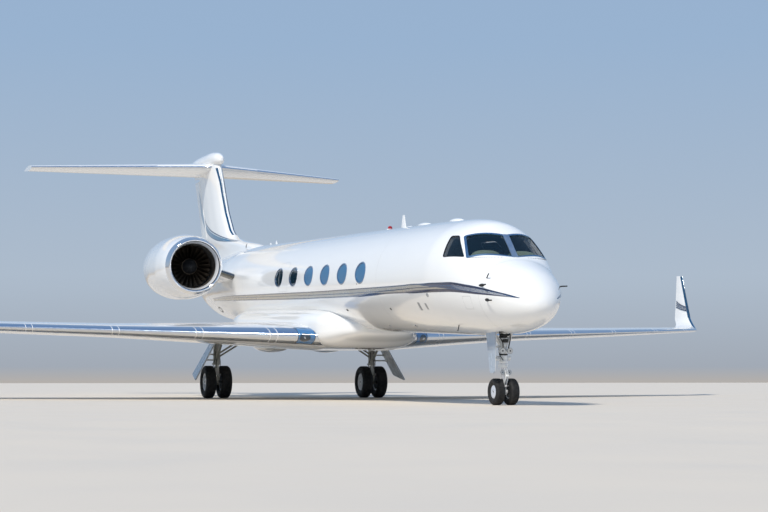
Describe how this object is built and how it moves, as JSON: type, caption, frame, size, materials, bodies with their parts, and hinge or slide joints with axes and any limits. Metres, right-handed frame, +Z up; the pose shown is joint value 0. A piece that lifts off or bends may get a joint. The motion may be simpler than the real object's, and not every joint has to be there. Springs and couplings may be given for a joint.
{
  "type": "business jet",
  "caption": "Large twin-engine business jet with a T-tail, swept low wing, winglets and hollow cabin, parked on twin-wheel gear, with working controls and airstair door.",
  "frame": {"origin": "on the ground under the middle of the jet's length and span", "axes": "+X to port, +Y aft along the ground, +Z up; the nose points towards -Y"},
  "size_m": [28.5032, 29.6433, 7.8739],
  "materials": {
    "body_paint": "glossy white paint over aluminium",
    "radome_paint": "glossy white paint over composite",
    "composite_paint": "glossy white paint over composite",
    "nacelle_paint": "glossy white paint with a polished lip",
    "wing_metal": "satin light grey, with a polished leading edge",
    "cockpit_glass": "clear tinted glass",
    "cabin_glass": "tinted glass",
    "panel_plastic": "dark matte",
    "seat_leather": "tan leather",
    "engine_metal": "dark heat-stained metal",
    "fan_metal": "dark titanium blades",
    "gear_paint": "light grey paint on steel",
    "wheel_hub": "light grey paint",
    "tyre_rubber": "black rubber"
  },
  "bodies": {
    "airframe": {"nose_cone": "radome_paint", "forward_fuselage": "body_paint", "cabin_fuselage": "body_paint", "aft_fuselage": "body_paint", "tail_cone": "composite_paint", "belly_fairing": "composite_paint", "baggage_door": "body_paint", "windshield_left": "cockpit_glass", "windshield_right": "cockpit_glass", "cockpit_window_left": "cockpit_glass", "cockpit_window_right": "cockpit_glass", "cabin_glazing_left": "cabin_glass", "cabin_glazing_right": "cabin_glass", "instrument_panel": "panel_plastic", "pilot_seat_left": "seat_leather", "pilot_seat_right": "seat_leather", "wing_left": "wing_metal", "wing_right": "wing_metal", "winglet_left": "composite_paint", "winglet_right": "composite_paint", "fin": "composite_paint", "stabilizer": "composite_paint", "bullet_fairing": "composite_paint", "nacelle_left": "nacelle_paint", "nacelle_right": "nacelle_paint", "engine_core_left": "engine_metal", "engine_core_right": "engine_metal", "pylon_left": "composite_paint", "pylon_right": "composite_paint", "nose_leg_upper": "gear_paint", "nose_gear_door": "composite_paint", "main_leg_left": "gear_paint", "main_leg_right": "gear_paint", "main_gear_door_left": "composite_paint", "main_gear_door_right": "composite_paint"},
    "entry_door": {"entry_door": "body_paint"},
    "rudder": {"rudder": "composite_paint"},
    "elevator_left": {"elevator_left": "composite_paint"},
    "elevator_right": {"elevator_right": "composite_paint"},
    "flap_left": {"flap_left": "wing_metal"},
    "flap_right": {"flap_right": "wing_metal"},
    "aileron_left": {"aileron_left": "wing_metal"},
    "aileron_right": {"aileron_right": "wing_metal"},
    "spoilers_left": {"spoilers_left": "wing_metal"},
    "spoilers_right": {"spoilers_right": "wing_metal"},
    "fan_left": {"fan_left": "fan_metal"},
    "fan_right": {"fan_right": "fan_metal"},
    "nose_fork": {"nose_leg_lower": "gear_paint"},
    "nose_wheels": {"nose_hubs": "wheel_hub", "nose_tyre_left": "tyre_rubber", "nose_tyre_right": "tyre_rubber"},
    "main_wheels_left": {"main_hubs_left": "wheel_hub", "main_tyre_left_outer": "tyre_rubber", "main_tyre_left_inner": "tyre_rubber"},
    "main_wheels_right": {"main_hubs_right": "wheel_hub", "main_tyre_right_outer": "tyre_rubber", "main_tyre_right_inner": "tyre_rubber"}
  },
  "joints": [
    {"name": "entry_door_hinge", "type": "hinge", "parent": "airframe", "child": "entry_door", "pos_m": [0.867, -10.34178, 1.79121], "axis": [0, 0.9992, 0.0401], "range_deg": [0, 130]},
    {"name": "rudder_hinge", "type": "hinge", "parent": "airframe", "child": "rudder", "pos_m": [0, 10.67062, 5.89278], "axis": [0, 0.5216, 0.8532], "range_deg": [-22, 22]},
    {"name": "elevator_left_hinge", "type": "hinge", "parent": "airframe", "child": "elevator_left", "pos_m": [2.72, 13.4764, 7.51762], "axis": [0.9357, 0.3517, 0.0275], "range_deg": [-13, 24]},
    {"name": "elevator_right_hinge", "type": "hinge", "parent": "airframe", "child": "elevator_right", "pos_m": [-2.72, 13.4764, 7.51762], "axis": [0.9357, -0.3517, -0.0275], "range_deg": [-13, 24]},
    {"name": "flap_left_hinge", "type": "hinge", "parent": "airframe", "child": "flap_left", "pos_m": [5.09, 1.53917, 1.79431], "axis": [-0.983, -0.1824, -0.0217], "range_deg": [0, 39]},
    {"name": "flap_right_hinge", "type": "hinge", "parent": "airframe", "child": "flap_right", "pos_m": [-5.09, 1.53917, 1.79431], "axis": [-0.983, 0.1824, 0.0217], "range_deg": [0, 39]},
    {"name": "aileron_left_hinge", "type": "hinge", "parent": "airframe", "child": "aileron_left", "pos_m": [10.6, 3.0056, 1.96045], "axis": [0.9468, 0.3192, 0.0403], "range_deg": [-11, 11]},
    {"name": "aileron_right_hinge", "type": "hinge", "parent": "airframe", "child": "aileron_right", "pos_m": [-10.6, 3.0056, 1.96045], "axis": [0.9468, -0.3192, -0.0403], "range_deg": [-11, 11]},
    {"name": "spoilers_left_hinge", "type": "hinge", "parent": "airframe", "child": "spoilers_left", "pos_m": [5.6, 0.72763, 1.94135], "axis": [0.9831, 0.1827, 0.014], "range_deg": [0, 55]},
    {"name": "spoilers_right_hinge", "type": "hinge", "parent": "airframe", "child": "spoilers_right", "pos_m": [-5.6, 0.72763, 1.94135], "axis": [0.9831, -0.1827, -0.014], "range_deg": [0, 55]},
    {"name": "fan_left_spin", "type": "hinge", "parent": "airframe", "child": "fan_left", "pos_m": [2.37773, 3.20758, 3.65147], "axis": [-0.061, 0.9973, 0.0401], "continuous": true},
    {"name": "fan_right_spin", "type": "hinge", "parent": "airframe", "child": "fan_right", "pos_m": [-2.37773, 3.20758, 3.65147], "axis": [0.061, 0.9973, 0.0401], "continuous": true},
    {"name": "nose_steering", "type": "hinge", "parent": "airframe", "child": "nose_fork", "pos_m": [0, -12.895, 0.75], "axis": [0, 0, 1], "range_deg": [-80, 80]},
    {"name": "nose_wheel_spin", "type": "hinge", "parent": "nose_fork", "child": "nose_wheels", "pos_m": [0, -12.895, 0.257], "axis": [1, 0, 0], "continuous": true},
    {"name": "main_wheel_left_spin", "type": "hinge", "parent": "airframe", "child": "main_wheels_left", "pos_m": [2.185, 0.825, 0.43], "axis": [1, 0, 0], "continuous": true},
    {"name": "main_wheel_right_spin", "type": "hinge", "parent": "airframe", "child": "main_wheels_right", "pos_m": [-2.185, 0.825, 0.43], "axis": [1, 0, 0], "continuous": true}
  ],
  "couplings": [
    {"joint": "elevator_right_hinge", "follows": "elevator_left_hinge", "ratio": 1},
    {"joint": "flap_right_hinge", "follows": "flap_left_hinge", "ratio": 1},
    {"joint": "aileron_right_hinge", "follows": "aileron_left_hinge", "ratio": -1},
    {"joint": "spoilers_right_hinge", "follows": "spoilers_left_hinge", "ratio": 1}
  ]
}
